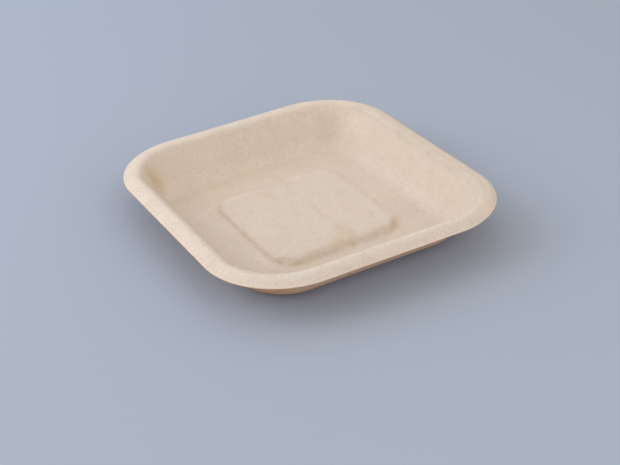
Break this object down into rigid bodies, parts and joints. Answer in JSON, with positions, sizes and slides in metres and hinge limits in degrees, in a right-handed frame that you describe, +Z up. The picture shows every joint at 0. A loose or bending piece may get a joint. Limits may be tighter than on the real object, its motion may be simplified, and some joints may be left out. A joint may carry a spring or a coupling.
{
  "type": "food tray",
  "caption": "Shallow food tray of pressed plant fibre, near square with rounded corners, a turned-down rim, sloping walls and a low raised panel in its floor.",
  "frame": {"origin": "under the middle of the tray, on the surface it stands on", "axes": "+X across the shorter side, +Y along the longer side, +Z up out of the tray's mouth"},
  "size_m": [0.17, 0.183, 0.0245],
  "materials": {
    "moulded_fibre": "matte unbleached moulded fibre with a fine grain"
  },
  "bodies": {
    "root": {"tray": "moulded_fibre"}
  },
  "joints": []
}
